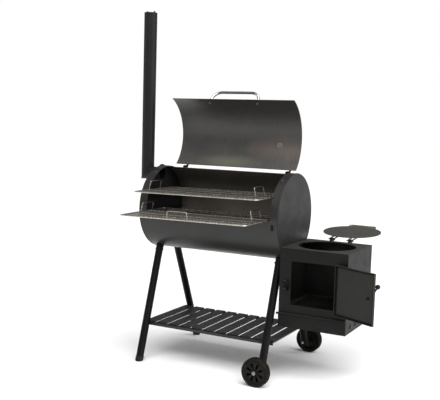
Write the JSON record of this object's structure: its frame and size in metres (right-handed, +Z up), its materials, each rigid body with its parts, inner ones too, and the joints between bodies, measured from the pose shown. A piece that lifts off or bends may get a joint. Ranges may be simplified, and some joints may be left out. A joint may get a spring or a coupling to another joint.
{
  "type": "offset barrel smoker",
  "caption": "Offset barrel smoker with hinged lid, side firebox, tall elbow chimney, pull-out wire grates, slatted shelf, splayed legs and wheels.",
  "frame": {"origin": "on the floor, under the middle of the whole smoker with its lid, door and grates open", "axes": "+X along the barrel from the chimney to the firebox, +Y to the back where the lid is hinged, +Z up"},
  "size_m": [1.3338, 0.9784, 1.696],
  "materials": {
    "black_paint": "satin high-temperature powder coat",
    "lid_paint": "semi-gloss paint on drawn sheet",
    "chromed_tube": "polished",
    "bright_wire": "bright plated wire",
    "black_plastic": "moulded",
    "tyre_rubber": "dull",
    "zinc_steel": "zinc plated"
  },
  "bodies": {
    "smoker": {"barrel_shell": "black_paint", "charcoal_grate": "black_paint", "charcoal_left_ledge": "black_paint", "charcoal_right_ledge": "black_paint", "chimney_elbow": "black_paint", "chimney_stack": "black_paint", "door_catch": "black_paint", "door_hinge_1": "black_paint", "door_hinge_2": "black_paint", "firebox_body": "black_paint", "firebox_lid_bracket_1": "black_paint", "firebox_lid_bracket_2": "black_paint", "front_axle_bolt": "zinc_steel", "front_left_foot": "black_plastic", "front_left_leg": "black_paint", "front_right_leg": "black_paint", "left_end_plate": "black_paint", "lid_left_hinge_bracket": "black_paint", "lid_right_hinge_bracket": "black_paint", "lower_left_rail": "black_paint", "lower_right_rail": "black_paint", "rear_axle_bolt": "zinc_steel", "rear_left_foot": "black_plastic", "rear_left_leg": "black_paint", "rear_right_leg": "black_paint", "right_end_plate": "black_paint", "shelf_front_rail": "black_paint", "shelf_rear_rail": "black_paint", "shelf_slat_01": "black_paint", "shelf_slat_02": "black_paint", "shelf_slat_03": "black_paint", "shelf_slat_04": "black_paint", "shelf_slat_05": "black_paint", "shelf_slat_06": "black_paint", "shelf_slat_07": "black_paint", "shelf_slat_08": "black_paint", "shelf_slat_09": "black_paint", "shelf_slat_10": "black_paint", "shelf_slat_11": "black_paint", "upper_left_rail": "black_paint", "upper_right_rail": "black_paint"},
    "lid": {"lid_shell": "lid_paint", "lid_handle": "chromed_tube", "lid_left_hinge_arm": "black_paint", "lid_right_hinge_arm": "black_paint"},
    "upper_grate": {"upper_grate": "bright_wire"},
    "lower_grate": {"lower_grate": "bright_wire"},
    "firebox_lid": {"firebox_lid": "black_paint", "firebox_lid_handle": "chromed_tube"},
    "firebox_door": {"firebox_door": "black_paint"},
    "latch": {"latch_lever": "black_paint", "latch_ball": "black_plastic"},
    "ash_drawer": {"ash_drawer": "black_paint"},
    "chimney_damper": {"chimney_damper": "black_paint"},
    "front_wheel": {"front_wheel": "black_plastic", "front_tyre": "tyre_rubber"},
    "rear_wheel": {"rear_wheel": "black_plastic", "rear_tyre": "tyre_rubber"}
  },
  "joints": [
    {"name": "lid_hinge", "type": "hinge", "parent": "smoker", "child": "lid", "pos_m": [-0.18259, 0.02059, 0.924], "axis": [1, 0, 0], "range_deg": [0, 118.6]},
    {"name": "upper_grate_slide", "type": "slide", "parent": "smoker", "child": "upper_grate", "axis": [0, 1, 0], "range_m": [0, 0.155]},
    {"name": "lower_grate_slide", "type": "slide", "parent": "smoker", "child": "lower_grate", "axis": [0, 1, 0], "range_m": [0, 0.247]},
    {"name": "firebox_lid_hinge", "type": "hinge", "parent": "smoker", "child": "firebox_lid", "pos_m": [0.34421, 0.13169, 0.6115], "axis": [1, 0, 0], "range_deg": [0, 175.9]},
    {"name": "firebox_door_hinge", "type": "hinge", "parent": "smoker", "child": "firebox_door", "pos_m": [0.45781, -0.22531, 0.4443], "axis": [0, 0, 1], "range_deg": [-155, 0]},
    {"name": "latch_pivot", "type": "hinge", "parent": "firebox_door", "child": "latch", "pos_m": [0.62742, -0.30407, 0.445], "axis": [0.4226, 0.9063, 0], "range_deg": [0, 90]},
    {"name": "ash_drawer_slide", "type": "slide", "parent": "smoker", "child": "ash_drawer", "axis": [0, -1, 0], "range_m": [0, 0.25]},
    {"name": "chimney_damper_swivel", "type": "hinge", "parent": "smoker", "child": "chimney_damper", "pos_m": [-0.66599, -0.05181, 1.687], "axis": [0, 0, 1], "range_deg": [0, 100]},
    {"name": "front_wheel_spin", "type": "hinge", "parent": "smoker", "child": "front_wheel", "pos_m": [0.15538, -0.37131, 0.065], "axis": [0, 1, 0], "continuous": true},
    {"name": "rear_wheel_spin", "type": "hinge", "parent": "smoker", "child": "rear_wheel", "pos_m": [0.15538, 0.26769, 0.065], "axis": [0, 1, 0], "continuous": true}
  ],
  "couplings": [
    {"joint": "upper_grate_slide", "follows": "lid_hinge", "m_per_rad": 0.074832},
    {"joint": "lower_grate_slide", "follows": "lid_hinge", "m_per_rad": 0.11928}
  ]
}
